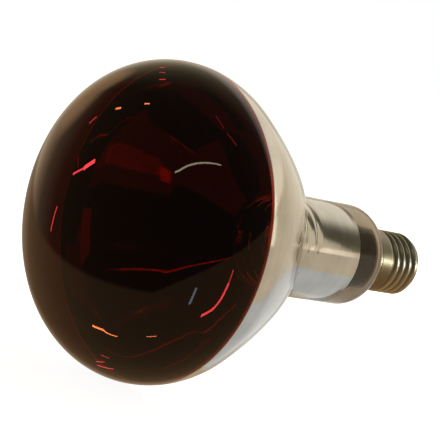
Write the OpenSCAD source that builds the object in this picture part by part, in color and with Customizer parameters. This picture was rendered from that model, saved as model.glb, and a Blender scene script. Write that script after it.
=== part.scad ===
// Infrared reflector lamp with a ruby face and an E27 screw cap.
// Outlines are drawn as [radius, height]. Heights run along the lamp's axis, from the end
// face of the centre contact (0) to the crown of the face. lay() turns that axis so that the
// face looks along -Y and the end face of the contact stays at the origin.

/* [Bulb] */
// Largest diameter of the bulb
bulb_d = 125; // [124.5:0.1:125.5]
// Overall length, from the centre contact to the crown
overall_l = 180.5; // [179.5:0.5:181.5]
// Height of the widest plane
widest_z = 141.2; // [140.8:0.1:141.6]
// Radius of the rounded corner between the face and the widest plane
corner_r = 31.3; // [30:0.1:32]
// Wall thickness of the blown glass
glass_t = 1; // [0.9:0.05:1.1]

/* [Reflector] */
// Focal length of the parabolic mirror
focal_l = 16.5; // [16.3:0.1:16.7]
// Radius at which the rear corner runs into the parabola
parabola_r = 58.1; // [57.9:0.1:58.3]
// Radius at which the parabola turns into the rear cone
knee_start_r = 43; // [42:0.5:44]
// Rounding radius between the parabola and the rear cone
knee_r = 14; // [12:0.5:15]
// Half angle of the rear cone
cone_a = 48.5; // [48:0.1:49]
// Distance from the widest plane back to the edge of the ruby coat
ruby_edge = 3.6; // [3:0.1:4]

/* [Neck] */
// Diameter of the neck
neck_d = 41.8; // [41.5:0.1:42.1]
// Diameter of the throat, where the cone meets the neck
throat_d = 40.8; // [40.6:0.1:41]
// Height at which the neck starts to round in towards the cap
shoulder_z = 39.4; // [39:0.1:39.8]
// Rounding radius of that shoulder
shoulder_r = 10.5; // [10.3:0.1:10.7]
// Height at which the mirror coat ends
mirror_end_z = 47.2; // [46.2:0.5:50.2]

/* [Coats] */
// Modelled thickness of the ruby coat
ruby_t = 0.2; // [0.15:0.05:0.25]
// Modelled thickness of the mirror coat
mirror_t = 0.2; // [0.15:0.05:0.25]

/* [Cap] */
// Height of the cap's rim
cap_h = 29.4; // [29.3:0.1:29.5]
// Diameter of the plain skirt
skirt_d = 26.4; // [26.3:0.05:26.5]
// Outer diameter of the flared rim
rim_d = 28.8; // [28.7:0.1:29]
// Height at which the rim starts to flare
flare_z = 26.2; // [26:0.1:26.4]
// Major diameter of the screw thread
thread_d = 26.2; // [26.05:0.05:26.4]
// Depth of the rounded thread profile
thread_depth = 1.1; // [1:0.05:1.15]
// Number of turns of thread
turns = 4.5; // [4:0.25:4.5]
// Thickness of the cap's sheet metal
sheet_t = 0.3; // [0.25:0.05:0.35]

/* [Filament mount] */
// Diameter of the ring that the filament follows
filament_ring_d = 24; // [22:0.5:26]
// Outer diameter of the filament's coil
coil_d = 1.5; // [1.2:0.1:1.8]
// Number of wires that hold the filament
supports = 5; // [3:1:6]
// Diameter of the inner lead wires
lead_d = 1; // [0.8:0.1:1.2]
// Diameter of the heat deflector disc
deflector_d = 34; // [30:0.5:36]

/* [Hidden] */
$fn = 96;
wide_r = bulb_d / 2;
neck_r = neck_d / 2;
throat_r = throat_d / 2;
bore_r = throat_r - glass_t;

// Face: a large sphere blended into the front corner.
crown_h = overall_l - widest_z;
corner_c = [wide_r - corner_r, widest_z];
face_r = (crown_h * crown_h + corner_c.x * corner_c.x - corner_r * corner_r)
    / (2 * (crown_h - corner_r));
face_z = overall_l - face_r;
face_a = atan2(widest_z - face_z, corner_c.x);

// Rear corner: tangent to the widest plane and to the parabola.
parabola_a = slope_at(parabola_r);
rear_r = (wide_r - parabola_r) / (1 - cos(parabola_a));
rear_c = [wide_r - rear_r, widest_z];
ruby_a = asin(ruby_edge / rear_r);
vertex_z = widest_z - rear_r * sin(parabola_a) - parabola_r * parabola_r / (4 * focal_l);
focus_z = vertex_z + focal_l;

// Knee and rear cone.
knee_a = slope_at(knee_start_r);
knee_c = [
    knee_start_r - knee_r * cos(knee_a),
    parabola_z(knee_start_r) + knee_r * sin(knee_a)
];
knee_end = knee_c + knee_r * [cos(cone_a), -sin(cone_a)];
throat_z = knee_end.y - (knee_end.x - throat_r) / tan(cone_a);

// Hollow that joins the rear cone to the neck.
hollow_r = 3;
hollow_c = [throat_r + hollow_r, throat_z - hollow_r * tan(cone_a / 2)];

// Neck: two shallow grooves rolled in behind the throat.
groove_at = [4.2, 9.3];
groove_w = 0.9;
groove_depth = 0.15;
neck_widens = 12;
neck_start = 2.2;

// Shoulder: an arc that a fillet turns into the sleeve inside the cap.
sleeve_r = 12.3;
fillet_r = 2.5;
shoulder_c = [neck_r - shoulder_r, shoulder_z];
shoulder_a = acos((sleeve_r + fillet_r - shoulder_c.x) / (shoulder_r + fillet_r));
fillet_c = [sleeve_r + fillet_r, shoulder_z - (shoulder_r + fillet_r) * sin(shoulder_a)];
inner_shoulder_a = acos((bore_r - shoulder_c.x) / (shoulder_r - glass_t));
seal_z = 22;
seal_r = sleeve_r - 1.4;
seal_h = 1.2;
seal_bevel = 0.6;
seal_wall = 1.3;

// Stem: flare, exhaust tube and pinch.
stem_r = 5;
stem_t = 0.9;
stem_top_z = 56;
flare_z1 = 36;
flare_h = flare_z1 - seal_z - seal_h;
flare_run = seal_r - stem_r;
flare_r = (flare_run * flare_run + flare_h * flare_h) / (2 * flare_run);
flare_c = [stem_r + flare_r, flare_z1];
flare_a = asin(flare_h / flare_r);
flare_trim_a = 6;
exhaust_r = 1.6;
exhaust_bore_r = 1.1;
exhaust_tip_z = 14;
tip_h = 3;
tip_wall = 2;
tip_round = 0.3;
root_h = 4;
root_r2 = 2.5;
press_h = 12;
press_w = 12;
press_t = 4.4;
press_z1 = stem_top_z + press_h;
arbor_r = 1.5;
button_r = 2.6;
button_drop = 5;
button_c = [0, 0, focus_z - button_drop];
deflector_z = 62;
deflector_t = 0.4;
past = 1;

// Wires.
lead_x = 3.2;
lead_r = lead_d / 2;
lead_bend_z = press_z1 + 8;
bead = 1.15;
outer_r = 0.25;
fuse_r = 0.12;
fuse_z = [36, 42];
wire_gap = 0.8;
seal_pass_r = [8.6, 8.8];
tip_pass_x = 2.6;
support_r = 0.25;
ring_r = filament_ring_d / 2;
coil_r = coil_d / 2;
gap_a = 40;
clamp_l = 3;
clamp_r = 1.05;

// Cap.
pitch = 3.629;
skirt_r = skirt_d / 2;
rim_r = rim_d / 2;
crest_r = thread_d / 2;
root_r = crest_r - thread_depth;
core_r = root_r - 0.1;
sunk_r = root_r - 0.25;
sunk_bore_r = root_r - 0.4;
thread_bore_r = root_r - 0.5;
skirt_bore_r = skirt_r - sheet_t;
thread_z = 3.7;
thread_start = 198;
end_round = 1.1;
thread_z1 = thread_z + turns * pitch;
thread_steps = 48;
thread_rows = 36;
fade_h = 1.4;
end_r = 9.8;
end_z = 2.6;
end_bore_r = thread_bore_r - 0.6;
skirt_step = 0.4;
insulator_z1 = 7.5;
insulator_lip = 0.6;
insulator_bevel = 1.5;
insulator_bore_r = 1.8;
contact_r = 4.8;
contact_z = 0.5;
contact_t = 0.8;
contact_round = 0.4;
eyelet_r = 1.3;
solder_r = 2.6;
solder_round = 0.15;
cement_z = 22.2;
cement_short = 0.12;
blob_r = 1.2;
blob_in = 0.3;

// --- Outlines ---

function slope_at(r) = atan2(2 * focal_l, r);
function parabola_z(r) = vertex_z + r * r / (4 * focal_l);
function arc(c, r, a0, a1, n) = [
    for (i = [0:n]) let (a = a0 + (a1 - a0) * i / n) c + r * [cos(a), sin(a)]
];
function reversed(pts) = [for (i = [len(pts) - 1:-1:0]) pts[i]];
function from(pts, first) = [for (i = [first:len(pts) - 1]) pts[i]];

// The bulb's outer surface, or the surface a depth t under it: the part under the ruby
// coat, and the part from there to the rear cone.
function ruby_line(t) = concat(
    arc([0, face_z], face_r - t, 90, face_a, 24),
    from(arc(corner_c, corner_r - t, face_a, 0, 20), 1),
    from(arc(rear_c, rear_r - t, 0, -ruby_a, 3), 1)
);
function mirror_line(t) = concat(
    arc(rear_c, rear_r - t, -ruby_a, -parabola_a, 9),
    [
        for (i = [1:9])
            let (r = parabola_r + (knee_start_r - parabola_r) * i / 10, a = slope_at(r))
                [r - t * cos(a), parabola_z(r) + t * sin(a)]
    ],
    arc(knee_c, knee_r - t, -knee_a, -cone_a, 6)
);

function groove(d, at) = groove_depth * exp(-pow((d - at) / groove_w, 2));
function neck_r_at(d) = throat_r + (neck_r - throat_r) * min(1, d / neck_widens)
    - groove(d, groove_at[0]) - groove(d, groove_at[1]);
function neck_line() = [
    for (d = [neck_start:0.4:neck_widens + 1]) [neck_r_at(d), throat_z - d]
];
// The hollow at the throat, a depth t under the surface.
function hollow_line(t) = arc(hollow_c, hollow_r + t, 180 - cone_a, 180, 8);
function shoulder_line() = arc(shoulder_c, shoulder_r, 0, -shoulder_a, 18);
function fillet_line() = arc(fillet_c, fillet_r, 180 - shoulder_a, 180, 6);

// --- Placing ---

// Lays the lamp's axis along Y, face towards -Y.
module lay() {
    rotate([90, 0, 0]) children();
}
module turned(pts) {
    lay() rotate_extrude() polygon(pts);
}
// A round bar from p to q.
module bar(p, q, r) {
    v = q - p;
    translate(p) rotate([0, acos(v.z / norm(v)), atan2(v.y, v.x)])
        cylinder(r = r, h = norm(v), $fn = 24);
}
// A wire through the points pts, with a bead at every bend.
module wire(pts, r) {
    for (i = [1:len(pts) - 1]) bar(pts[i - 1], pts[i], r);
    for (i = [1:len(pts) - 2]) translate(pts[i]) sphere(r = bead * r, $fn = 24);
}

// --- Envelope ---

module ruby_coating() {
    color([0.2, 0.01, 0.01]) turned(concat(ruby_line(0), reversed(ruby_line(ruby_t))));
}

module glass_bulb() {
    outer = concat(
        ruby_line(ruby_t),
        mirror_line(0),
        hollow_line(0),
        neck_line(),
        shoulder_line(),
        from(fillet_line(), 1),
        [[sleeve_r, seal_z + seal_bevel], [sleeve_r - seal_bevel, seal_z]]
    );
    inner = concat(
        ruby_line(glass_t),
        from(mirror_line(glass_t), 1),
        hollow_line(glass_t),
        arc(shoulder_c, shoulder_r - glass_t, -inner_shoulder_a, -shoulder_a, 12),
        from(arc(fillet_c, fillet_r + glass_t, 180 - shoulder_a, 180, 6), 1),
        [[seal_r, fillet_c.y - glass_t], [seal_r, seal_z]]
    );
    color([0.8, 0.82, 0.8]) turned(concat(outer, reversed(inner)));
}

module mirror_coating() {
    film_r = bore_r - mirror_t;
    back = concat(mirror_line(glass_t), hollow_line(glass_t), [[bore_r, mirror_end_z]]);
    front = concat(
        mirror_line(glass_t + mirror_t),
        hollow_line(glass_t + mirror_t),
        [[film_r, mirror_end_z]]
    );
    color([0.8, 0.76, 0.68]) turned(concat(back, reversed(front)));
}

// --- Glass stem ---

module stem_flare() {
    color([0.75, 0.8, 0.78]) turned(concat(
        [[seal_r, seal_z]],
        arc(flare_c, flare_r, 180 + flare_a, 180, 12),
        [[stem_r, stem_top_z], [stem_r - stem_t, stem_top_z]],
        arc(flare_c, flare_r + stem_t, 180, 180 + flare_a - flare_trim_a, 12),
        [[seal_r - seal_wall, seal_z]]
    ));
}

module exhaust_tube() {
    color([0.75, 0.8, 0.78]) turned([
        [0, exhaust_tip_z],
        [exhaust_r / 2, exhaust_tip_z + tip_round],
        [exhaust_r, exhaust_tip_z + tip_h],
        [exhaust_r, stem_top_z],
        [exhaust_bore_r, stem_top_z],
        [exhaust_bore_r, exhaust_tip_z + tip_h + tip_round],
        [0, exhaust_tip_z + tip_wall]
    ]);
}

// The pinch's flat part: a slab with round edges.
module press_slab(h) {
    flat = press_w - press_t;
    translate([-flat / 2, -press_t / 2, 0]) cube([flat, press_t, h]);
    for (x = [-flat / 2, flat / 2]) translate([x, 0, 0]) cylinder(d = press_t, h = h);
}

module stem_press() {
    color([0.7, 0.76, 0.74]) lay() translate([0, 0, stem_top_z]) difference() {
        union() {
            cylinder(r1 = stem_r, r2 = root_r2, h = root_h);
            translate([0, 0, root_h / 2]) press_slab(press_h - root_h / 2);
        }
        for (x = [-lead_x, lead_x])
            translate([x, 0, -past]) cylinder(r = lead_r, h = press_h + 2 * past);
    }
}

module arbor_rod() {
    rise = button_c.z - press_z1 - sqrt(button_r * button_r - arbor_r * arbor_r);
    color([0.75, 0.8, 0.78]) lay() translate([0, 0, press_z1]) cylinder(r = arbor_r, h = rise);
}

module arbor_button() {
    low_a = -acos(arbor_r / button_r);
    color([0.75, 0.8, 0.78]) turned(concat(
        [[0, button_c.z + button_r * sin(low_a)]],
        arc([0, button_c.z], button_r, low_a, 90, 20)
    ));
}

// --- Filament and its wires ---

function ring_point(a) = [ring_r * cos(a), ring_r * sin(a), focus_z];

module support_wire(i) {
    a = 270 + gap_a + (360 - 2 * gap_a) * i / (supports + 1);
    loop_r = coil_r + support_r;
    low = ring_point(a) - [0, 0, loop_r];
    v = low - button_c;
    reach = sqrt(button_r * button_r - support_r * support_r);
    color([0.45, 0.45, 0.47]) lay() {
        bar(button_c + v * reach / norm(v), low, support_r);
        translate(ring_point(a)) rotate([90, 0, a])
            rotate_extrude() translate([loop_r, 0]) circle(r = support_r, $fn = 16);
    }
}

module filament() {
    color([0.3, 0.3, 0.32]) lay() translate([0, 0, focus_z]) rotate([0, 0, 270 + gap_a])
        rotate_extrude(angle = 360 - 2 * gap_a)
            translate([ring_r, 0]) circle(r = coil_r, $fn = 32);
}

function clamp_start(side) = ring_point(270 + side * gap_a);
function clamp_way(side) = side * [sin(270 + side * gap_a), -cos(270 + side * gap_a), 0];
module clamp_bar(side) {
    bar(clamp_start(side), clamp_start(side) + clamp_way(side) * clamp_l, clamp_r);
}
module filament_clamp(side) {
    color([0.6, 0.6, 0.58]) lay() clamp_bar(side);
}

// Both leads are the same shape, so b is the mirror image of a.
module inner_lead(side) {
    tip = clamp_start(-1) + clamp_way(-1) * clamp_l / 2;
    color([0.62, 0.6, 0.55]) lay() mirror([max(side, 0), 0, 0]) difference() {
        wire([[-lead_x, 0, press_z1], [-lead_x, 0, lead_bend_z], tip], lead_r);
        clamp_bar(-1);
    }
}

module seal_wire(side) {
    color([0.7, 0.3, 0.2]) lay() translate([side * lead_x, 0, stem_top_z])
        cylinder(r = lead_r, h = press_h);
}

// The side lead runs round the seal and up between the sleeve and the skirt.
module side_wire() {
    gap_r = (sleeve_r + skirt_r - sheet_t) / 2;
    wire([
        [-lead_x, 0, stem_top_z],
        [-lead_x, 0, flare_z1],
        [-seal_pass_r[0], 0, seal_z + seal_bevel],
        [-seal_pass_r[1], 0, seal_z - wire_gap],
        [-gap_r, 0, seal_z - wire_gap],
        [-gap_r, 0, flare_z + wire_gap / 2],
        [-gap_r - (rim_r - skirt_r) / 2, 0, cap_h - wire_gap]
    ], outer_r);
}
module outer_lead_a() {
    color([0.72, 0.42, 0.25]) lay() side_wire();
}

module outer_lead_b() {
    color([0.72, 0.42, 0.25]) lay()
        bar([lead_x, 0, fuse_z[1]], [lead_x, 0, stem_top_z], outer_r);
}

module outer_lead_c() {
    color([0.72, 0.42, 0.25]) lay() wire([
        [lead_x, 0, fuse_z[0]],
        [tip_pass_x, 0, exhaust_tip_z + tip_wall],
        [0, 0, insulator_z1 + wire_gap],
        [0, 0, contact_z + contact_t]
    ], outer_r);
}

module fuse_link() {
    color([0.75, 0.75, 0.72]) lay()
        bar([lead_x, 0, fuse_z[0]], [lead_x, 0, fuse_z[1]], fuse_r);
}

module heat_deflector() {
    color([0.7, 0.7, 0.7]) lay() translate([0, 0, deflector_z]) difference() {
        cylinder(d = deflector_d, h = deflector_t);
        translate([0, 0, -past]) press_slab(deflector_t + 2 * past);
    }
}

// --- Screw cap ---

// The cap's plain skirt, flared rim, thread core and rounded end, as one sheet.
rim_line = [[skirt_r, flare_z], [rim_r, cap_h], [rim_r - sheet_t, cap_h], [skirt_bore_r, flare_z]];
shell_line = concat(
    rim_line,
    [[skirt_bore_r, thread_z1 + 0.5], [thread_bore_r, thread_z1 - 0.3]],
    [[thread_bore_r, thread_z], [end_bore_r, end_z + sheet_t]],
    [[end_r, end_z + sheet_t], [end_r, end_z]],
    arc([core_r - end_round, end_z + end_round], end_round, 270, 360, 8),
    [[core_r, thread_z1], [skirt_bore_r, thread_z1], [skirt_r, thread_z1 + skirt_step]]
);

// Knuckle thread: a sine wave along the axis that sinks into the core at both ends.
function fade(z) = min(1, z / fade_h, (turns * pitch - z) / fade_h);
function wave(z, a) = root_r + thread_depth * (1 + cos(360 * z / pitch - a - thread_start)) / 2;
function thread_r(z, a) = sunk_r + (wave(z, a) - sunk_r) * fade(z);
module thread_tube() {
    n = thread_steps;
    l = turns * pitch;
    outer = [
        for (j = [0:thread_rows], i = [0:n - 1])
            let (z = l * j / thread_rows, a = 360 * i / n)
                [thread_r(z, a) * cos(a), thread_r(z, a) * sin(a), z]
    ];
    bore = [
        for (z = [0, l], i = [0:n - 1])
            [sunk_bore_r * cos(360 * i / n), sunk_bore_r * sin(360 * i / n), z]
    ];
    m = len(outer);
    top = m - n;
    walls = [
        for (j = [0:thread_rows - 1], i = [0:n - 1], half = [0, 1])
            let (a = j * n + i, b = j * n + (i + 1) % n)
                half == 0 ? [a, a + n, b] : [b, a + n, b + n]
    ];
    rest = [
        for (i = [0:n - 1])
            let (k = (i + 1) % n)
                each [
                    [m + i, m + k, m + n + k, m + n + i],
                    [i, k, m + k, m + i],
                    [top + k, top + i, m + n + i, m + n + k]
                ]
    ];
    translate([0, 0, thread_z]) polyhedron(concat(outer, bore), concat(walls, rest));
}

module cap_shell() {
    color([0.55, 0.5, 0.4]) union() {
        turned(shell_line);
        lay() thread_tube();
    }
}

module cap_insulator() {
    color([0.04, 0.04, 0.04]) turned([
        [insulator_bore_r, contact_z + contact_t],
        [contact_r + insulator_lip, contact_z + contact_t],
        [end_r - insulator_lip, end_z - 0.1],
        [end_r, end_z],
        [end_r, end_z + sheet_t],
        [end_bore_r, end_z + sheet_t],
        [thread_bore_r, thread_z],
        [thread_bore_r, insulator_z1 - insulator_bevel],
        [thread_bore_r - insulator_bevel, insulator_z1],
        [insulator_bore_r, insulator_z1]
    ]);
}

module centre_contact() {
    color([0.75, 0.62, 0.3]) turned([
        [eyelet_r, contact_z],
        [contact_r - contact_round, contact_z],
        [contact_r, contact_z + contact_round],
        [contact_r, contact_z + contact_t],
        [eyelet_r, contact_z + contact_t]
    ]);
}

module centre_solder() {
    color([0.7, 0.7, 0.7]) turned([
        [0, 0],
        [solder_r - 3 * solder_round, 0],
        [solder_r - solder_round, solder_round],
        [solder_r, contact_z],
        [eyelet_r, contact_z],
        [eyelet_r, contact_z + contact_t],
        [0, contact_z + contact_t]
    ]);
}

cement_line = concat(
    [[skirt_bore_r, cement_z], [skirt_bore_r, flare_z]],
    [rim_line[2] - [rim_r - skirt_r, cap_h - flare_z] * cement_short],
    from(fillet_line(), 2),
    [[sleeve_r, cement_z]]
);
module basing_cement() {
    color([0.6, 0.56, 0.48]) difference() {
        turned(cement_line);
        lay() side_wire();
    }
}

// Solder that joins the side lead to the rim, without the space its neighbours take.
module side_solder() {
    color([0.7, 0.7, 0.7]) difference() {
        lay() translate([blob_in - rim_r, 0, cap_h]) sphere(r = blob_r, $fn = 32);
        turned(rim_line);
        turned(cement_line);
        turned(concat(
            shoulder_line(),
            from(fillet_line(), 1),
            [[sleeve_r, cement_z], [0, cement_z], [0, shoulder_z]]
        ));
        lay() side_wire();
    }
}

ruby_coating();
glass_bulb();
mirror_coating();
stem_flare();
exhaust_tube();
stem_press();
arbor_rod();
arbor_button();
for (i = [1:supports]) support_wire(i);
filament();
filament_clamp(-1);  // filament_clamp_a
filament_clamp(1);  // filament_clamp_b
inner_lead(-1);  // inner_lead_a
inner_lead(1);  // inner_lead_b
seal_wire(-1);  // seal_wire_a
seal_wire(1);  // seal_wire_b
outer_lead_a();
outer_lead_b();
outer_lead_c();
fuse_link();
heat_deflector();
basing_cement();
cap_shell();
cap_insulator();
centre_contact();
centre_solder();
side_solder();
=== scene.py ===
"""Looks for the infrared reflector lamp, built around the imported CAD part.

Every shape is a body of revolution about the lamp's axis, drawn as (radius, height) in
millimetres with heights from the centre contact's end face, as in the CAD source.
"""
import math

import bmesh
import bpy
import numpy as np
from mathutils import Matrix, Vector


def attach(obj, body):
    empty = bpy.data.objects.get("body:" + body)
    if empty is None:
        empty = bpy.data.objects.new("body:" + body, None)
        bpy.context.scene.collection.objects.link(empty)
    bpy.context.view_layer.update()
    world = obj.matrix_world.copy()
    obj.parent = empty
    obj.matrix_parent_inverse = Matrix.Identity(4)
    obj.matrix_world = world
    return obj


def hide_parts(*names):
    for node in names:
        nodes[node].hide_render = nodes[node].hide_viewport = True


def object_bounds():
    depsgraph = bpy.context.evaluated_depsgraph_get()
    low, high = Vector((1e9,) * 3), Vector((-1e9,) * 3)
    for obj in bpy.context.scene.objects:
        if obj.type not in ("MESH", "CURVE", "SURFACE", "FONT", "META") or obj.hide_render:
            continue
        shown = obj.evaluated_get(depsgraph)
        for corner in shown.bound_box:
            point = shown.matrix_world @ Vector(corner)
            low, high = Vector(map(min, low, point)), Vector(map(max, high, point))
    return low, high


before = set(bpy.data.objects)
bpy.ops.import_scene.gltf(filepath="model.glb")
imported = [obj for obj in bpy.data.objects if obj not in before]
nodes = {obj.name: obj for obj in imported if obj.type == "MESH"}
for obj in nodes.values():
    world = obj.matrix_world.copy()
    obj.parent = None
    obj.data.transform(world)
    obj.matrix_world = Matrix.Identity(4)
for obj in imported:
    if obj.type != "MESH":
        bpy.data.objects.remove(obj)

cad_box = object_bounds()
MM = 0.001

# --- The bulb's shape, as in the CAD source ---

WIDE_R, WIDEST_Z, OVERALL = 62.5, 141.2, 180.5
CORNER_R, GLASS_T, COAT_T = 31.3, 1.0, 0.2
FOCAL, PARABOLA_R, KNEE_START_R, KNEE_R, CONE_A = 16.5, 58.1, 43.0, 14.0, 48.5
RUBY_EDGE, NECK_R, THROAT_R = 3.6, 20.9, 20.4
SHOULDER_Z, SHOULDER_R, MIRROR_END_Z = 39.4, 10.5, 47.2
SLEEVE_R, FILLET_R, SEAL_Z = 12.3, 2.5, 22.0
SLEEVE_T, SLEEVE_CHAMFER = 1.4, 0.6
GROOVES, GROOVE_W, GROOVE_DEPTH = (4.2, 9.3), 0.9, 0.15
NECK_FROM, NECK_STEP, NECK_WIDENS, FILLET_THROAT = 2.2, 0.15, 12.0, 3.0


def cosd(a):
    return math.cos(math.radians(a))


def sind(a):
    return math.sin(math.radians(a))


def slope_at(r):
    """The lean of the parabola's surface at radius r."""
    return math.degrees(math.atan2(2 * FOCAL, r))


def arc(c, r, a0, a1, n):
    """Points on a circle about c, from angle a0 to a1 in n steps."""
    angles = [a0 + (a1 - a0) * i / n for i in range(n + 1)]
    return [(c[0] + r * cosd(a), c[1] + r * sind(a)) for a in angles]


def straight(p, q, n):
    """Points from p, which is left out, to q in n steps."""
    return [(p[0] + (q[0] - p[0]) * i / n, p[1] + (q[1] - p[1]) * i / n) for i in range(1, n + 1)]


crown_h = OVERALL - WIDEST_Z
corner_c = (WIDE_R - CORNER_R, WIDEST_Z)
face_r = (crown_h ** 2 + corner_c[0] ** 2 - CORNER_R ** 2) / (2 * (crown_h - CORNER_R))
face_z = OVERALL - face_r
face_a = math.degrees(math.atan2(WIDEST_Z - face_z, corner_c[0]))
parabola_a = slope_at(PARABOLA_R)
rear_r = (WIDE_R - PARABOLA_R) / (1 - cosd(parabola_a))
rear_c = (WIDE_R - rear_r, WIDEST_Z)
ruby_a = math.degrees(math.asin(RUBY_EDGE / rear_r))
vertex_z = WIDEST_Z - rear_r * sind(parabola_a) - PARABOLA_R ** 2 / (4 * FOCAL)
focus_z = vertex_z + FOCAL
knee_a = slope_at(KNEE_START_R)
knee_c = (KNEE_START_R - KNEE_R * cosd(knee_a),
          vertex_z + KNEE_START_R ** 2 / (4 * FOCAL) + KNEE_R * sind(knee_a))
knee_end = (knee_c[0] + KNEE_R * cosd(CONE_A), knee_c[1] - KNEE_R * sind(CONE_A))
bore_r = THROAT_R - GLASS_T
shoulder_c = (NECK_R - SHOULDER_R, SHOULDER_Z)
shoulder_run = SLEEVE_R + FILLET_R - shoulder_c[0]
shoulder_a = math.degrees(math.acos(shoulder_run / (SHOULDER_R + FILLET_R)))
fillet_c = (SLEEVE_R + FILLET_R, SHOULDER_Z - (SHOULDER_R + FILLET_R) * sind(shoulder_a))
inner_shoulder_a = math.degrees(math.acos((bore_r - shoulder_c[0]) / (SHOULDER_R - GLASS_T)))
throat_z = knee_end[1] - (knee_end[0] - THROAT_R) / math.tan(math.radians(CONE_A))


def ruby_line(t):
    """The face from its pole to the ruby coat's edge, a depth t under the surface."""
    return (arc((0, face_z), face_r - t, 90, face_a, 60)
            + arc(corner_c, CORNER_R - t, face_a, 0, 50)[1:]
            + arc(rear_c, rear_r - t, 0, -ruby_a, 6)[1:])


def mirror_line(t):
    """The reflector from the ruby coat's edge to the cone, a depth t under the surface."""
    line = arc(rear_c, rear_r - t, -ruby_a, -parabola_a, 24)
    steps = 30
    for i in range(1, steps):
        r = PARABOLA_R + (KNEE_START_R - PARABOLA_R) * i / steps
        a = slope_at(r)
        line.append((r - t * cosd(a), vertex_z + r * r / (4 * FOCAL) + t * sind(a)))
    return line + arc(knee_c, KNEE_R - t, -knee_a, -CONE_A, 12)


def throat_fillet(t):
    """The small hollow where the cone runs into the neck, a depth t under the surface."""
    run = FILLET_THROAT / math.tan(math.radians(90 - CONE_A / 2))
    centre = (THROAT_R + FILLET_THROAT, throat_z - run)
    return arc(centre, FILLET_THROAT + t, 180 - CONE_A, 180, 10)


def neck_line(t, end):
    """The neck from the hollow down to height end, a depth t under the surface."""
    out = []
    for d in np.arange(NECK_FROM, throat_z - end, NECK_STEP):
        groove = sum(GROOVE_DEPTH * math.exp(-((d - g) / GROOVE_W) ** 2) for g in GROOVES)
        wide = (NECK_R - THROAT_R) * min(1, d / NECK_WIDENS)
        out.append((THROAT_R + wide - groove - t, throat_z - float(d)))
    return out + [(out[-1][0], end)]


# --- Meshes ---

LATHE_SIDES = 256


def row(x, y, h):
    """Lamp coordinates in millimetres to the row frame in metres."""
    return Vector((x * MM, -h * MM, y * MM))


def add_object(name, bm, materials, smooth=True):
    bmesh.ops.recalc_face_normals(bm, faces=bm.faces)
    mesh = bpy.data.meshes.new(name)
    bm.to_mesh(mesh)
    bm.free()
    for m in materials:
        mesh.materials.append(m)
    if smooth:
        mesh.polygons.foreach_set("use_smooth", [True] * len(mesh.polygons))
    obj = bpy.data.objects.new(name, mesh)
    bpy.context.scene.collection.objects.link(obj)
    return obj


def turned(bm, r, h, k, n):
    """Vertex k of n on a ring of radius r at height h."""
    a = 2 * math.pi * k / n
    return bm.verts.new(row(r * math.cos(a), r * math.sin(a), h))


def lathe(bm, line, slot):
    """Turns a closed line of (radius, height) round the axis. slot has one material a segment."""
    n = LATHE_SIDES
    rings = []
    for r, h in line:
        if r < 1e-6:
            rings.append([bm.verts.new(row(0, 0, h))])
        else:
            rings.append([turned(bm, r, h, k, n) for k in range(n)])
    for i in range(len(line)):
        a, b = rings[i], rings[(i + 1) % len(line)]
        if len(a) == 1 and len(b) == 1:
            continue
        for k in range(n):
            k2 = (k + 1) % n
            if len(a) == 1:
                f = bm.faces.new((a[0], b[k], b[k2]))
            elif len(b) == 1:
                f = bm.faces.new((a[k], b[0], a[k2]))
            else:
                f = bm.faces.new((a[k], b[k], b[k2], a[k2]))
            f.material_index = slot[i]


# --- Materials ---

class Graph:
    """The node tree of a material or a world, under construction."""

    def __init__(self, owner):
        owner.use_nodes = True
        self.nt = owner.node_tree
        self.nt.nodes.clear()

    def node(self, kind, inputs=None, **props):
        n = self.nt.nodes.new(kind)
        for k, v in props.items():
            setattr(n, k, v)
        for k, v in (inputs or {}).items():
            if isinstance(v, bpy.types.NodeSocket):
                self.nt.links.new(v, n.inputs[k])
            else:
                n.inputs[k].default_value = v
        return n

    def calc(self, operation, a, b):
        return self.node("ShaderNodeMath", {0: a, 1: b}, operation=operation).outputs[0]

    def ramp(self, fac, stops):
        n = self.node("ShaderNodeValToRGB", {"Fac": fac})
        e = n.color_ramp.elements
        while len(e) < len(stops):
            e.new(0.5)
        for i, (position, colour) in enumerate(stops):
            e[i].position, e[i].color = position, (*colour, 1)
        return n.outputs["Color"]

    def past_glass(self):
        """1 for a ray that has come through the lamp's glass, else 0."""
        depth = self.node("ShaderNodeLightPath").outputs["Transparent Depth"]
        return self.calc("GREATER_THAN", depth, 0.5)


class Mat(Graph):
    """A node material under construction."""

    def __init__(self, name):
        self.m = bpy.data.materials.new(name)
        super().__init__(self.m)
        self.out = self.node("ShaderNodeOutputMaterial")
        self.coord = self.node("ShaderNodeTexCoord").outputs["Object"]

    def noise(self, scale, detail=3.0, rough=0.5, stretch=None):
        vec = self.coord
        if stretch:
            vec = self.node("ShaderNodeMapping", {"Vector": vec, "Scale": stretch}).outputs[0]
        settings = {"Vector": vec, "Scale": scale, "Detail": detail, "Roughness": rough}
        return self.node("ShaderNodeTexNoise", settings).outputs["Fac"]

    def span(self, fac, lo, hi, fmin=0.3, fmax=0.7):
        return self.node("ShaderNodeMapRange", {"Value": fac, "From Min": fmin, "From Max": fmax,
                                                "To Min": lo, "To Max": hi}).outputs[0]

    def bump(self, height, strength, distance, over=None):
        """A bumped normal, on top of the normal over if there is one."""
        settings = {"Height": height, "Strength": strength, "Distance": distance}
        if over is not None:
            settings["Normal"] = over
        return self.node("ShaderNodeBump", settings).outputs[0]

    def principled(self, **inputs):
        named = {k.replace("_", " "): v for k, v in inputs.items()}
        return self.surface(self.node("ShaderNodeBsdfPrincipled", named).outputs[0])

    def surface(self, socket):
        self.nt.links.new(socket, self.out.inputs["Surface"])
        return self.m


GLASS_IOR, GLASS_ROUGH, CLOUDED = 1.5, 0.012, 0.9
RIPPLE_H, RIPPLE_SCALE = 0.00004, 30.0
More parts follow.
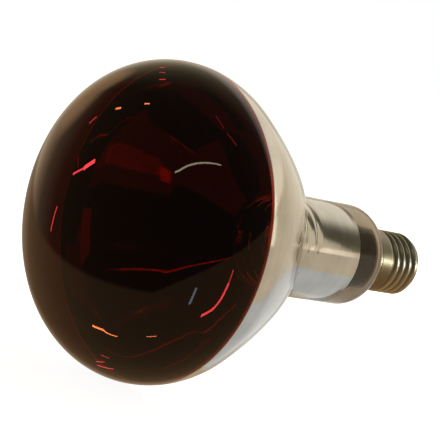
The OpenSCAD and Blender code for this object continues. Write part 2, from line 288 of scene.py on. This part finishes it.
# The haze: its share seen head on, how it grows with slant, where it sets in, and its tone.
HAZE, HAZE_IOR, HAZE_LEAD, HAZE_FADE = 0.03, 1.15, 1.2, 1.0
HAZE_TONE = (0.62, 0.5, 0.36, 1)
RUBY_TINT, GLASS_TINT = (0.21, 0.010, 0.007), (0.975, 0.985, 0.97)


def clear_shader(name, tint, patch, gloss_rough=GLASS_ROUGH, wave=RIPPLE_H,
                 wave_scale=RIPPLE_SCALE, haze_from=None):
    """Thin clear or tinted glass: what is behind shows straight through, under a gloss.

    patch is the noise that clouds the tint, and wave the height of the gloss's ripple. Beyond the
    height haze_from, in millimetres, the glass is hazed.
    """
    m = Mat(name)
    ripple = m.bump(m.noise(wave_scale, 1.5), 1.0, wave)
    # A ray that leaves through the outer face isn't bent here, so it isn't mirrored back either.
    inside = m.node("ShaderNodeNewGeometry").outputs["Backfacing"]
    facing = m.node("ShaderNodeFresnel", {"IOR": GLASS_IOR, "Normal": ripple}).outputs[0]
    share = m.node("ShaderNodeMix", {0: inside, 2: facing, 3: 0.0}).outputs[0]
    deeper = tuple(CLOUDED * c for c in tint)
    cloudy = m.ramp(m.span(m.noise(*patch), 0, 1), [(0, tint), (1, deeper)])
    see = m.node("ShaderNodeBsdfTransparent", {"Color": cloudy}).outputs[0]
    gloss = {"Color": (1, 1, 1, 1), "Roughness": gloss_rough, "Normal": ripple}
    shine = m.node("ShaderNodeBsdfAnisotropic", gloss).outputs[0]
    mix = m.node("ShaderNodeMixShader", {0: share, 1: see, 2: shine}).outputs[0]
    if haze_from:
        # A trace of the mirror metal has settled as a brownish haze beyond the film's end.
        height = m.node("ShaderNodeSeparateXYZ", {0: m.coord}).outputs["Y"]
        cloud = m.span(m.noise(70.0), 0.7, 1.0)
        start, full = haze_from + HAZE_LEAD, haze_from + HAZE_LEAD - HAZE_FADE
        beyond = m.span(height, 0.0, 1.0, -start * MM, -full * MM)
        edge = m.node("ShaderNodeFresnel", {"IOR": HAZE_IOR}).outputs[0]
        share = m.calc("ADD", edge, HAZE)
        for part in (beyond, cloud):
            share = m.calc("MULTIPLY", share, part)
        veil = m.node("ShaderNodeBsdfDiffuse", {"Color": HAZE_TONE}).outputs[0]
        mix = m.node("ShaderNodeMixShader", {0: share, 1: mix, 2: veil}).outputs[0]
    return m.surface(mix)


def void_shader(name):
    """An optical joint between two layers that touch: nothing is seen there."""
    m = Mat(name)
    return m.surface(m.node("ShaderNodeBsdfTransparent", {"Color": (1, 1, 1, 1)}).outputs[0])


ruby_mat = clear_shader("ruby_coat", RUBY_TINT, patch=(60.0, 3.0))
joint_mat = void_shader("optical_joint")
glass_mat = clear_shader("clear_glass", GLASS_TINT, patch=(90.0, 2.0), haze_from=MIRROR_END_Z)


def film_outside():
    """The mirror film seen through the bulb's glass, with faint rings from the glass blowing."""
    m = Mat("mirror_film_back")
    big = m.noise(28.0, 3.0, 0.55)
    rings = m.noise(1.0, 3.0, 0.6, stretch=(6.0, 230.0, 6.0))
    fine = m.noise(900.0, 2.0, 0.6)
    tone = m.ramp(rings, [(0.3, (0.80, 0.79, 0.76)), (0.45, (0.86, 0.82, 0.75)),
                          (0.55, (0.88, 0.83, 0.76)), (0.7, (0.82, 0.82, 0.80))])
    rough = m.span(big, 0.09, 0.15)
    ripple = m.bump(rings, 0.03, 0.0005)
    grain = m.bump(fine, 0.04, 0.0002, ripple)
    return m.principled(Base_Color=tone, Metallic=1.0, Roughness=rough, Normal=grain)


def film_inside():
    """The mirror film seen from inside the bulb."""
    m = Mat("mirror_film_front")
    wave = m.noise(35.0, 1.0, 0.4)
    haze = m.span(m.noise(50.0), 0.03, 0.07)
    return m.principled(Base_Color=(0.9, 0.87, 0.82, 1), Metallic=1.0, Roughness=haze,
                        Normal=m.bump(wave, 0.5, 0.0012))


film_back_mat, film_front_mat = film_outside(), film_inside()


def scratched(m, tone, rough):
    """Metal of that tone with faint scratches round the lamp's axis."""
    lines = m.noise(300.0, 2.0, 0.5, stretch=(1.0, 12.0, 1.0))
    return m.principled(Base_Color=tone, Metallic=1.0, Roughness=rough,
                        Normal=m.bump(lines, 0.08, 0.0003))


def worn_metal(name, dark, light, rough):
    """Bare cloudy metal between two tones. rough is (smoothest, roughest)."""
    m = Mat(name)
    cloud = m.noise(60.0, 5.0, 0.6)
    tone = m.ramp(cloud, [(0.32, dark), (0.68, light)])
    return scratched(m, tone, m.span(cloud, rough[1], rough[0]))


# Painted light on the cap, by radius in millimetres: a painted highlight that grows from the
# thread's roots to its crests, with painted shade in the roots, and how pale the skirt (painted
# dark) and the rim's bead (a painted highlight) are.
SHEEN_FROM, SHEEN_FULL, SKIRT_FROM, RIM_FROM = 12.1, 12.85, 13.12, 14.1
SKIRT_SHEEN, RIM_SHEEN, CLOUDING = 0.12, 0.95, 0.12
# Tones from painted shade in the roots to a painted highlight on the crests and rim.
CAP_SHADE_TO_SHEEN = [(0.05, (0.34, 0.32, 0.23)), (0.5, (0.52, 0.50, 0.38)), (0.95, (0.82, 0.80, 0.68))]


def cap_metal():
    """Brownish sheet metal, painted pale on the thread's crests and rim as a painted highlight and
    dark in the thread's roots as painted shade.
    """
    m = Mat("cap_metal")
    across = m.node("ShaderNodeVectorMath", {0: m.coord, 1: (1, 0, 1)}, operation="MULTIPLY")
    radius = m.node("ShaderNodeVectorMath", {0: across.outputs[0]}, operation="LENGTH")
    radius = radius.outputs["Value"]
    # Painted highlight on the crests and painted shade in the roots: paler the further out from
    # the axis.
    painted_sheen = m.span(radius, 0, 1, SHEEN_FROM * MM, SHEEN_FULL * MM)
    # The skirt is painted dark, and the rim's bead is painted pale as a highlight.
    for start, amount in ((SKIRT_FROM, SKIRT_SHEEN), (RIM_FROM, RIM_SHEEN)):
        beyond = m.calc("GREATER_THAN", radius, start * MM)
        painted_sheen = m.node("ShaderNodeMix", {0: beyond, 2: painted_sheen, 3: amount}).outputs[0]
    cloud = m.noise(90.0, 5.0, 0.6)
    mixed = m.calc("ADD", painted_sheen, m.span(cloud, -CLOUDING, CLOUDING))
    return scratched(m, m.ramp(mixed, CAP_SHADE_TO_SHEEN), m.span(cloud, 0.42, 0.3))


cap_mat = cap_metal()
contact_mat = worn_metal("contact_brass", (0.62, 0.47, 0.2), (0.8, 0.65, 0.36), (0.22, 0.4))
nickel_mat = worn_metal("nickel_wire", (0.5, 0.48, 0.44), (0.68, 0.66, 0.61), (0.25, 0.4))
copper_mat = worn_metal("copper_wire", (0.62, 0.3, 0.17), (0.8, 0.46, 0.3), (0.25, 0.45))
seal_mat = worn_metal("seal_wire", (0.5, 0.14, 0.08), (0.68, 0.26, 0.16), (0.3, 0.5))
tungsten_mat = worn_metal("tungsten", (0.2, 0.2, 0.21), (0.34, 0.34, 0.36), (0.35, 0.5))
moly_mat = worn_metal("support_molybdenum", (0.3, 0.3, 0.31), (0.46, 0.46, 0.47), (0.3, 0.5))
fuse_mat = worn_metal("fuse_wire", (0.6, 0.6, 0.58), (0.75, 0.75, 0.73), (0.3, 0.45))
deflector_mat = worn_metal("deflector_metal", (0.62, 0.62, 0.6), (0.76, 0.76, 0.74), (0.25, 0.4))
stem_mat = clear_shader("stem_glass", (0.9, 0.94, 0.92), patch=(200.0, 2.0), gloss_rough=0.02,
                        wave=0.00015, wave_scale=120.0)


def solder():
    m = Mat("solder")
    lump = m.noise(700.0, 3.0, 0.55)
    tone = m.ramp(lump, [(0.3, (0.5, 0.5, 0.49)), (0.7, (0.72, 0.72, 0.71))])
    return m.principled(Base_Color=tone, Metallic=1.0, Roughness=m.span(lump, 0.28, 0.48),
                        Normal=m.bump(lump, 0.35, 0.0003))


def cement():
    m = Mat("cement")
    grain = m.noise(1600.0, 4.0, 0.65)
    tone = m.ramp(grain, [(0.25, (0.28, 0.23, 0.17)), (0.75, (0.5, 0.44, 0.35))])
    return m.principled(Base_Color=tone, Roughness=m.span(grain, 0.75, 0.95),
                        Normal=m.bump(grain, 0.5, 0.0003))


def black_glass():
    m = Mat("black_glass")
    cloud = m.noise(180.0, 3.0, 0.5)
    tone = m.ramp(cloud, [(0.3, (0.012, 0.012, 0.014)), (0.7, (0.03, 0.03, 0.034))])
    return m.principled(Base_Color=tone, Roughness=m.span(cloud, 0.08, 0.2),
                        Normal=m.bump(cloud, 0.15, 0.0004), Coat_Weight=0.5)


solder_mat, cement_mat, vitrite_mat = solder(), cement(), black_glass()

# --- Envelope pieces ---


def place(obj, node):
    """The piece rides the root body, in place of that CAD node."""
    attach(obj, "root")
    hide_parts(node)
    return obj


def shell(name, outer, inner, outer_slots, inner_slots, materials, node):
    """A closed wall between two lines, with a material slot for each of their segments."""
    bm = bmesh.new()
    lathe(bm, outer + inner[::-1], outer_slots + [0] + inner_slots[::-1] + [0])
    return place(add_object(name, bm, materials), node)


def coat(name, outer, inner, materials, node):
    """A thin coat with one material on each face."""
    return shell(name, outer, inner, [0] * (len(outer) - 1), [1] * (len(inner) - 1), materials,
                 node)


g_ruby = ruby_line(COAT_T)
coat("ruby_coat", ruby_line(0), g_ruby, [ruby_mat, joint_mat], "ruby_coating")

g_mirror = mirror_line(0)
g_throat = throat_fillet(0)
g_cone = straight(g_mirror[-1], g_throat[0], 12)[:-1]
g_neck = neck_line(0, SHOULDER_Z)
g_shoulder = arc(shoulder_c, SHOULDER_R, 0, -shoulder_a, 40)[1:]
g_fillet = arc(fillet_c, FILLET_R, 180 - shoulder_a, 180, 12)[1:]
g_sleeve = [(SLEEVE_R, SEAL_Z + SLEEVE_CHAMFER), (SLEEVE_R - SLEEVE_CHAMFER, SEAL_Z)]
outer = g_ruby + g_mirror + g_cone + g_throat + g_neck + g_shoulder + g_fillet + g_sleeve
outer_slots = [1] * len(g_ruby) + [0] * (len(outer) - len(g_ruby) - 1)

i_ruby = ruby_line(GLASS_T)
i_mirror = mirror_line(GLASS_T)[1:]
i_throat = throat_fillet(GLASS_T)
i_cone = straight(i_mirror[-1], i_throat[0], 12)[:-1]
i_bore = neck_line(GLASS_T, MIRROR_END_Z)
bore_end = SHOULDER_Z - (SHOULDER_R - GLASS_T) * sind(inner_shoulder_a)
i_clear = straight(i_bore[-1], (bore_r, bore_end), 6)
i_shoulder = arc(shoulder_c, SHOULDER_R - GLASS_T, -inner_shoulder_a, -shoulder_a, 24)[1:]
i_fillet = arc(fillet_c, FILLET_R + GLASS_T, 180 - shoulder_a, 180, 10)[1:]
i_sleeve = [(SLEEVE_R - SLEEVE_T, fillet_c[1] - 1), (SLEEVE_R - SLEEVE_T, SEAL_Z)]
inner = i_ruby + i_mirror + i_cone + i_throat + i_bore + i_clear + i_shoulder + i_fillet + i_sleeve
film_len = len(i_mirror) + len(i_cone) + len(i_throat) + len(i_bore)
inner_slots = ([0] * (len(i_ruby) - 1) + [1] * film_len
               + [0] * (len(inner) - len(i_ruby) - film_len))
shell("glass_envelope", outer, inner, outer_slots, inner_slots, [glass_mat, joint_mat],
      "glass_bulb")

# The film stands a hair off the glass, starts under the coat and has a bevelled end.
FILM_GAP, FILM_BEVEL, FILM_START_A = 0.04, 0.8, ruby_a * 0.87


def film_line(t, end):
    """One face of the film, a depth t under the bulb's surface, down to height end.

    It starts under the ruby coat, so that no light gets between the two edges.
    """
    hollow = throat_fillet(t)
    body = arc(rear_c, rear_r - t, -FILM_START_A, -ruby_a, 4)[:-1] + mirror_line(t)
    return body + straight(body[-1], hollow[0], 12)[:-1] + hollow + neck_line(t, end)


coat("mirror_film", film_line(GLASS_T + FILM_GAP, MIRROR_END_Z),
     film_line(GLASS_T + COAT_T, MIRROR_END_Z + FILM_BEVEL), [film_back_mat, film_front_mat],
     "mirror_coating")

# --- Screw cap ---

SKIRT_R, RIM_R, CAP_H, FLARE_Z = 13.2, 14.4, 29.4, 26.2
CREST_R, DEPTH, PITCH, TURNS, THREAD_START = 13.1, 1.1, 3.629, 4.5, math.radians(198)
SHEET_T, THREAD_Z, END_R, END_Z, END_ROUND, FADE_H = 0.3, 3.7, 9.8, 2.6, 1.1, 1.4
ROOT_R = CREST_R - DEPTH
CORE_R = ROOT_R - 0.1
THREAD_END_Z = THREAD_Z + TURNS * PITCH
BEAD_R = 0.3
CAP_SIDES, THREAD_STEPS = 192, 149
# From the thread's end to the skirt, as (in from the skirt, up from the thread).
SKIRT_EASE = [(0.5, 0.05), (0.15, 0.18), (0, 0.4)]
# The flare starts beside the ridge's bead and ends under the rim's.
FLARE_START = (SKIRT_R + 0.26, FLARE_Z + 0.45)
FLARE_END = (RIM_R - 0.3, CAP_H - 0.75)
# The cap's inside, from the rim's lip down to its end.
LIP = (RIM_R - SHEET_T - 0.15, CAP_H - 0.4)
SKIRT_INSIDE = [(SKIRT_R - SHEET_T, FLARE_Z), (SKIRT_R - SHEET_T, THREAD_END_Z + 0.5)]
THREAD_INSIDE = [(ROOT_R - 0.5, THREAD_END_Z - 0.3), (ROOT_R - 0.5, THREAD_Z),
                 (ROOT_R - 1.1, END_Z + SHEET_T)]


def cap_radius(h, a):
    """Outer radius of the cap at height h and angle a (radians)."""
    z = h - THREAD_Z
    fade = max(0.0, min(1.0, z / FADE_H, (TURNS * PITCH - z) / FADE_H))
    fade = fade * fade * (3 - 2 * fade)
    wave = ROOT_R + DEPTH * (1 + math.cos(2 * math.pi * z / PITCH - a - THREAD_START)) / 2
    return CORE_R + (wave - CORE_R) * fade


def make_cap():
    n = CAP_SIDES
    start = [(END_R, END_Z + SHEET_T), (END_R, END_Z)]
    start += arc((CORE_R - END_ROUND, END_Z + END_ROUND), END_ROUND, 270, 360, 8)
    thread = [[(cap_radius(h, 2 * math.pi * k / n), float(h)) for k in range(n)]
              for h in np.linspace(THREAD_Z, THREAD_END_Z, THREAD_STEPS + 1)[1:]]
    skirt = [(SKIRT_R - inward, THREAD_END_Z + up) for inward, up in SKIRT_EASE]
    skirt += straight(skirt[-1], (SKIRT_R, FLARE_Z - 0.5), 6)
    skirt += arc((SKIRT_R, FLARE_Z), BEAD_R, -90, 60, 8)
    skirt += straight(FLARE_START, FLARE_END, 6)
    skirt += arc((RIM_R - BEAD_R, CAP_H - BEAD_R), BEAD_R, -30, 150, 10)
    skirt += [LIP]
    for point in SKIRT_INSIDE:
        skirt += straight(skirt[-1], point, 4)
    skirt += THREAD_INSIDE
    rows = [[point] * n for point in start] + thread + [[point] * n for point in skirt]
    bm = bmesh.new()
    rings = [[turned(bm, r, h, k, n) for k, (r, h) in enumerate(line)] for line in rows]
    for i in range(len(rings)):
        a, b = rings[i], rings[(i + 1) % len(rings)]
        for k in range(n):
            bm.faces.new((a[k], b[k], b[(k + 1) % n], a[(k + 1) % n]))
    return place(add_object("screw_cap", bm, [cap_mat]), "cap_shell")


make_cap()

# --- Filament: a fine helix wound round the ring ---

RING_R, COIL_R, GAP_A, WIRE_R, COIL_PITCH = 12.0, 0.62, 40.0, 0.12, 0.42
COIL_STEPS, WIRE_SIDES = 10, 6


def make_filament():
    sweep = 360 - 2 * GAP_A
    turns = int(math.radians(sweep) * RING_R / COIL_PITCH)
    centre = []
    for i in range(turns * COIL_STEPS + 1):
        t = i / (turns * COIL_STEPS)
        a = math.radians(270 + GAP_A + sweep * t)
        b = 2 * math.pi * turns * t
        r = RING_R + COIL_R * math.cos(b)
        centre.append(Vector((r * math.cos(a), r * math.sin(a), focus_z + COIL_R * math.sin(b))))
    bm = bmesh.new()
    rings = []
    for i, p in enumerate(centre):
        q0, q1 = centre[max(i - 1, 0)], centre[min(i + 1, len(centre) - 1)]
        way = (q1 - q0).normalized()
        u = way.cross(Vector((0, 0, 1))).normalized()
        v = way.cross(u)
        ring = []
        for k in range(WIRE_SIDES):
            c = 2 * math.pi * k / WIRE_SIDES
            w = p + WIRE_R * (u * math.cos(c) + v * math.sin(c))
            ring.append(bm.verts.new(row(*w)))
        rings.append(ring)
    for a, b in zip(rings, rings[1:]):
        for k in range(WIRE_SIDES):
            after = (k + 1) % WIRE_SIDES
            bm.faces.new((a[k], b[k], b[after], a[after]))
    bm.faces.new(rings[0])
    bm.faces.new(rings[-1])
    return place(add_object("filament_coil", bm, [tungsten_mat]), "filament")


make_filament()

# --- Materials of the CAD nodes that stay ---

kept = {"stem_flare": stem_mat, "exhaust_tube": stem_mat, "stem_press": stem_mat,
        "arbor_rod": stem_mat, "arbor_button": stem_mat, "filament_clamp_a": nickel_mat,
        "filament_clamp_b": nickel_mat, "inner_lead_a": nickel_mat, "inner_lead_b": nickel_mat,
        "seal_wire_a": seal_mat, "seal_wire_b": seal_mat, "outer_lead_a": copper_mat,
        "outer_lead_b": copper_mat, "outer_lead_c": copper_mat, "fuse_link": fuse_mat,
        "heat_deflector": deflector_mat, "basing_cement": cement_mat,
        "cap_insulator": vitrite_mat, "centre_contact": contact_mat,
        "centre_solder": solder_mat, "side_solder": solder_mat}
kept.update({f"support_wire_{i}": moly_mat for i in range(1, 6)})
for name, mat in kept.items():
    obj = nodes[name]
    obj.data.materials.clear()
    obj.data.materials.append(mat)

# --- Camera, at the photograph's viewing angle ---

# In camera axes (x right, y down, z forward): the lean of the lamp's axis from the line of sight
# and its turn in the view, a rough up for the row, and the middle of the ruby coat's edge in mm.
THETA, ALPHA = 48.05, 10.08
UP_GUESS = Vector((0.2664, -0.9585, -0.1032))
EDGE_CENTRE = Vector((-22.60, -0.015, 784.56))
LENS_MM, SENSOR_MM = 165.2, 36.0


def camera_to_row():
    """Turns a direction in camera axes to the row's axes."""
    y = Vector((sind(THETA) * cosd(ALPHA), sind(THETA) * sind(ALPHA), cosd(THETA)))
    z = (UP_GUESS - y * UP_GUESS.dot(y)).normalized()
    return Matrix((y.cross(z), y, z))


TO_ROW = camera_to_row()


def make_camera():
    right, up, back = (TO_ROW @ Vector(v) for v in ((1, 0, 0), (0, -1, 0), (0, 0, -1)))
    edge = Vector((0, RUBY_EDGE - WIDEST_Z, 0))
    cam = bpy.data.cameras.new("camera")
    cam.sensor_width = SENSOR_MM
    cam.lens = LENS_MM
    cam.clip_start, cam.clip_end = 0.01, 20
    obj = bpy.data.objects.new("camera", cam)
    m = Matrix((right, up, back)).transposed().to_4x4()
    m.translation = (edge - TO_ROW @ EDGE_CENTRE) * MM
    obj.matrix_world = m
    bpy.context.scene.collection.objects.link(obj)
    bpy.context.scene.camera = obj
    return obj


camera = make_camera()

# --- Studio: pale floor, soft lights, a dim warm room for reflections ---

FLOOR_GAP, FLOOR_HALF, FLOOR_GLOW = 0.0005, 6.0, 1.0
FLOOR_THROUGH_GLASS = (0.36, 0.29, 0.21, 1)


def make_floor():
    bm = bmesh.new()
    z = cad_box[0][2] - FLOOR_GAP
    for x, y in ((-1, -1), (1, -1), (1, 1), (-1, 1)):
        bm.verts.new((x * FLOOR_HALF, y * FLOOR_HALF, z))
    bm.faces.new(bm.verts)
    m = Mat("floor")
    tone = m.ramp(m.noise(6.0), [(0.3, (0.93, 0.93, 0.93)), (0.7, (0.95, 0.95, 0.95))])
    base = m.node("ShaderNodeBsdfDiffuse", {"Color": tone}).outputs[0]
    glow = m.node("ShaderNodeEmission", {"Color": tone, "Strength": FLOOR_GLOW}).outputs[0]
    pale = m.node("ShaderNodeAddShader", {0: base, 1: glow}).outputs[0]
    dim = m.node("ShaderNodeEmission", {"Color": FLOOR_THROUGH_GLASS}).outputs[0]
    mix = m.node("ShaderNodeMixShader", {0: m.past_glass(), 1: pale, 2: dim}).outputs[0]
    obj = add_object("floor", bm, [m.surface(mix)], smooth=False)
    obj.visible_glossy = False


make_floor()


def from_camera(azimuth, elevation):
    """A direction given in the camera's own axes, 0 straight ahead, as a row direction."""
    return TO_ROW @ Vector((sind(azimuth) * cosd(elevation), -sind(elevation),
                            cosd(azimuth) * cosd(elevation)))


# The photographed lamp lies on its side with the cap low, so its room leans against the row.
ROOM_UP = TO_ROW @ Vector((0, -0.9455, -0.3256))
AHEAD = TO_ROW @ Vector((0, 0, 1))
RIGHT = TO_ROW @ Vector((1, 0, 0))
LAMP_GLOW = from_camera(-33.5, 30.6)
LOW = ROOM_UP - 0.08 * RIGHT
# Ramps along AHEAD: the room above the table's horizon, to the left and elsewhere, and the table.
WALL_LEFT = [(0.0, (0.04, 0.035, 0.02)), (0.72, (0.08, 0.055, 0.03)), (0.83, (0.22, 0.17, 0.10)),
             (0.90, (0.66, 0.45, 0.27)), (0.96, (1.15, 0.90, 0.64))]
WALL = [(0.0, (0.04, 0.04, 0.03)), (0.6, (0.07, 0.06, 0.04)), (0.78, (0.23, 0.19, 0.11)),
        (0.88, (0.45, 0.37, 0.23)), (0.96, (0.82, 0.70, 0.50))]
TABLE = [(0.0, (0.24, 0.15, 0.08)), (0.9, (0.30, 0.185, 0.09)), (0.95, (0.43, 0.31, 0.19)),
         (1.0, (0.60, 0.48, 0.35))]
# Ramps along the room's height: the bright wall ahead on the right, and the view through glass.
BRIGHT_WALL = [(0.40, (0.78, 0.66, 0.50)), (0.54, (0.80, 0.70, 0.57)), (0.675, (0.79, 0.72, 0.61)),
               (1.0, (0.76, 0.70, 0.60))]
THROUGH_GLASS = [(0.0, (0.34, 0.27, 0.20)), (0.35, (0.40, 0.33, 0.24)), (0.42, (0.60, 0.52, 0.41)),
                 (1.0, (0.66, 0.58, 0.47))]
# Where one part of the room gives way to the next, as the two values between which it does.
LEFT_TO_RIGHT, HORIZON = (-0.6, -0.2), (-0.13, -0.09)
LAMP_EDGE, BRIGHT_EDGE = (0.965, 0.992), (0.88, 1.0)
LAMP_COLOUR = (1.0, 0.62, 0.32, 1)


def make_world():
    """A dim warm room that only reflections and light see."""
    world = bpy.data.worlds.new("studio")
    bpy.context.scene.world = world
    g = Graph(world)
    ray = g.node("ShaderNodeTexCoord").outputs["Generated"]

    def along(axis, lo, hi, **props):
        dot = g.node("ShaderNodeVectorMath", {0: ray, 1: axis}, operation="DOT_PRODUCT")
        return g.node("ShaderNodeMapRange", {"Value": dot.outputs["Value"], "From Min": lo,
                                             "From Max": hi}, **props).outputs[0]

    def soft(axis, edges):
        return along(axis, *edges, interpolation_type="SMOOTHSTEP")

    def blend(fac, first, second):
        return g.node("ShaderNodeMix", {0: fac, 6: first, 7: second}, data_type="RGBA").outputs[2]

    ahead = along(AHEAD, -1, 1)
    wall = blend(soft(RIGHT, LEFT_TO_RIGHT), g.ramp(ahead, WALL_LEFT), g.ramp(ahead, WALL))
    wall = blend(soft(LAMP_GLOW, LAMP_EDGE), wall, LAMP_COLOUR)
    bright = g.ramp(along(ROOM_UP, -1, 1), BRIGHT_WALL)
    wall = blend(soft(AHEAD + 0.8 * RIGHT, BRIGHT_EDGE), wall, bright)
    room = blend(soft(LOW, HORIZON), g.ramp(ahead, TABLE), wall)
    # The camera sees plain white past the lamp, and the dim room through its glass.
    view = blend(g.past_glass(), (1, 1, 1, 1), g.ramp(along(LOW, -1, 1), THROUGH_GLASS))
    lit = g.node("ShaderNodeBackground", {"Color": room}).outputs[0]
    seen = g.node("ShaderNodeBackground", {"Color": view}).outputs[0]
    camera_ray = g.node("ShaderNodeLightPath").outputs["Is Camera Ray"]
    mix = g.node("ShaderNodeMixShader", {0: camera_ray, 1: lit, 2: seen}).outputs[0]
    g.node("ShaderNodeOutputWorld", {"Surface": mix})


make_world()

LAMP_MIDDLE = Vector((0, -0.122, 0))


def rect_light(name, centre, x, y, size, radiance, colour):
    """A rectangular light with sides along x and y. It shines against x cross y."""
    data = bpy.data.lights.new(name, "AREA")
    data.shape = "RECTANGLE"
    data.size, data.size_y = size
    data.energy = radiance * math.pi * size[0] * size[1]
    data.color = colour
    obj = bpy.data.objects.new(name, data)
    m = Matrix((x, y, x.cross(y))).transposed().to_4x4()
    m.translation = centre
    obj.matrix_world = m
    bpy.context.scene.collection.objects.link(obj)
    return obj


def soft_light(name, way, distance, size, radiance, colour):
    """A light that faces the lamp from that way, given as from_camera's angles."""
    way = from_camera(*way)
    look = (-way).to_track_quat("-Z", "Y").to_matrix().transposed()
    return rect_light(name, LAMP_MIDDLE + way * distance, look[0], look[1], size, radiance, colour)


def strip_light(name, p, q, width, radiance, colour):
    """A thin light from p to q, facing the lamp."""
    middle = (p + q) / 2
    x = (q - p).normalized()
    y = (middle - LAMP_MIDDLE).cross(x).normalized()
    return rect_light(name, middle, x, y, ((q - p).length, width), radiance, colour)


def linked_light(only, name, centre, x, y, size, radiance, colour):
    """A light for the pieces of the collection only, which the camera doesn't see."""
    x = x.normalized()
    y = (y - x * y.dot(x)).normalized()
    obj = rect_light(name, centre, x, y, size, radiance, colour)
    obj.visible_camera = False
    obj.light_linking.receiver_collection = only


def receivers(name, *pieces):
    """A collection of pieces that a light can be linked to."""
    group = bpy.data.collections.new(name)
    for piece in pieces:
        group.objects.link(bpy.data.objects[piece])
    return group


key = soft_light("key_soft", way=(60, 50), distance=1.5, size=(0.8, 0.8), radiance=5.0,
                 colour=(1, 0.96, 0.9))
key.visible_glossy = False
# The tube and, further on, the streaks are mirrored in the face. Their lights stand this far off.
SPOT_REACH = 1.6
TUBE_WAYS = ((-136, 29), (159, 39))
strip_light("tube", *(LAMP_MIDDLE + from_camera(*way) * SPOT_REACH for way in TUBE_WAYS),
            width=0.025, radiance=5.0, colour=(1.0, 0.9, 0.62))
soft_light("low_card", way=(-176, -40), distance=1.2, size=(0.05, 0.24), radiance=2.6,
           colour=(0.75, 0.82, 1.0))

# A pale sheet lies on the table beside the lamp's back, in two parts, each from start to end on
# the right. The face doesn't reflect it.
SHEET_UNDER, SHEET_DROP, SHEET_LONG, SHEET_NEAR_END = Vector((0, -0.062, 0)), 0.3, 6.0, -1.0
back_only = receivers("back_only", "mirror_film", "glass_envelope", "basing_cement")
table_ahead = ROOM_UP.cross(RIGHT)
for name, start, end, radiance, colour in (("sheet_near", 0.02, 0.32, 0.40, (0.47, 0.75, 1.0)),
                                           ("sheet_far", 0.32, 5.0, 0.27, (0.9, 1.0, 0.95))):
    middle = (SHEET_UNDER - ROOM_UP * SHEET_DROP + RIGHT * (start + end) / 2
              + table_ahead * (SHEET_LONG / 2 + SHEET_NEAR_END))
    linked_light(back_only, name, middle, RIGHT, -table_ahead, (end - start, SHEET_LONG),
                 radiance, colour)

# Something pale close by on the right fills the dark of the neck's first half.
CARD_AT = Vector((0.244, 0.105, -0.519))
up, back = (camera.matrix_world.to_3x3() @ Vector(v) for v in ((0, 1, 0), (0, 0, 1)))
linked_light(back_only, "card", camera.matrix_world @ CARD_AT, up, back, size=(0.32, 0.6),
             radiance=0.55, colour=(1.0, 0.87, 0.68))

# Something pale in the room shows through the face as a maroon glow, brighter in its middle.
GLOW_FROM, GLOW_REACH = Vector((0.029, -0.157, -0.049)), 1.6
inside_only = receivers("inside_only", "mirror_film")
way = Vector((0.75, -0.32, -0.58)).normalized()
across = ROOM_UP.cross(way)
for i, (size, radiance) in enumerate((((0.5, 0.4), 0.5), ((0.24, 0.24), 1.2))):
    linked_light(inside_only, f"glow_{i}", GLOW_FROM + way * GLOW_REACH, across, way.cross(across),
                 size, radiance, colour=(1.0, 0.9, 0.8))

# A long lamp off to the right, along the cap, catches the crests of the thread.
CAP_MIDDLE = Vector((0, -0.015, 0))
cap_only = receivers("cap_only", "screw_cap")
way = from_camera(90.5, -8)
along_cap = Vector((0, 1, 0)) - way * way.y
linked_light(cap_only, "cap_side", CAP_MIDDLE + way, along_cap, way.cross(along_cap),
             size=(1.8, 0.12), radiance=7.5, colour=(1.0, 0.97, 0.86))

WARM, RED = (1.0, 0.22, 0.06), (1.0, 0.05, 0.06)
# Each streak's colour, power and width, and the marks that it runs through, as (clock, tilt).
STREAKS = [(WARM, 20, 0.02, [(92.5, 24), (89, 24.5)]), (WARM, 22, 0.02, [(77, 28), (74.5, 29)]),
           (WARM, 24, 0.02, [(-68, 26.5), (-61.5, 28), (-55.5, 34)]),
           (WARM, 18, 0.02, [(-43, 44.5), (-39.5, 49)]),
           (RED, 14, 0.02, [(121, 8), (97, 9)]), (RED, 22, 0.045, [(97, 9), (82.5, 11.5)]),
           (RED, 9, 0.016, [(-134, 10), (-148, 8), (-169, 6.5)]),
           (RED, 5, 0.02, [(110.5, 20), (105.5, 21.5)]),
           (RED, 6, 0.02, [(90.5, 58), (89, 60)]), (RED, 7, 0.02, [(87.5, 53), (85, 55)]),
           (RED, 9, 0.03, [(83, 47), (81, 50)]),
           (RED, 2, 0.03, [(53.5, 62), (47.5, 64)]), (RED, 4, 0.02, [(45.5, 65), (40.5, 69.5)]),
           (RED, 19, 0.07, [(-22.5, 64), (-18.5, 69), (-14, 71), (-8, 71.5)]),
           (RED, 11, 0.04, [(-8, 71.5), (-3, 71.5)]),
           (RED, 8, 0.02, [(-77, 50.5), (-72, 50.5)]),
           (RED, 10, 0.02, [(-78.5, 54.5), (-70.5, 58)]),
           (RED, 8, 0.02, [(-71, 44), (-67.5, 47.5)])]


def light_for(clock, tilt):
    """Where a light stands so that it is mirrored at a mark on the face.

    clock is the mark's angle round the lamp's axis, and tilt is the lean of the face there.
    """
    n = row(sind(tilt) * cosd(clock), sind(tilt) * sind(clock), cosd(tilt)) / MM
    if tilt < 90 - face_a:
        at = row(0, 0, face_z) + n * face_r * MM
    else:
        rim = row(corner_c[0] * cosd(clock), corner_c[0] * sind(clock), WIDEST_Z)
        at = rim + n * CORNER_R * MM
    view = (at - camera.matrix_world.translation).normalized()
    return at + (view - 2 * n * view.dot(n)) * SPOT_REACH


face_only = receivers("face_only", "ruby_coat")
for i, (colour, power, width, marks) in enumerate(STREAKS):
    for j, (a, b) in enumerate(zip(marks, marks[1:])):
        spot = strip_light(f"spot_{i}_{j}", light_for(*a), light_for(*b), width, power, colour)
        spot.light_linking.receiver_collection = face_only

scene = bpy.context.scene
scene.view_settings.view_transform = "Standard"
scene.cycles.max_bounces = 16
scene.cycles.glossy_bounces = 12
scene.cycles.transmission_bounces = 12
scene.cycles.transparent_max_bounces = 64
scene.cycles.use_denoising = True
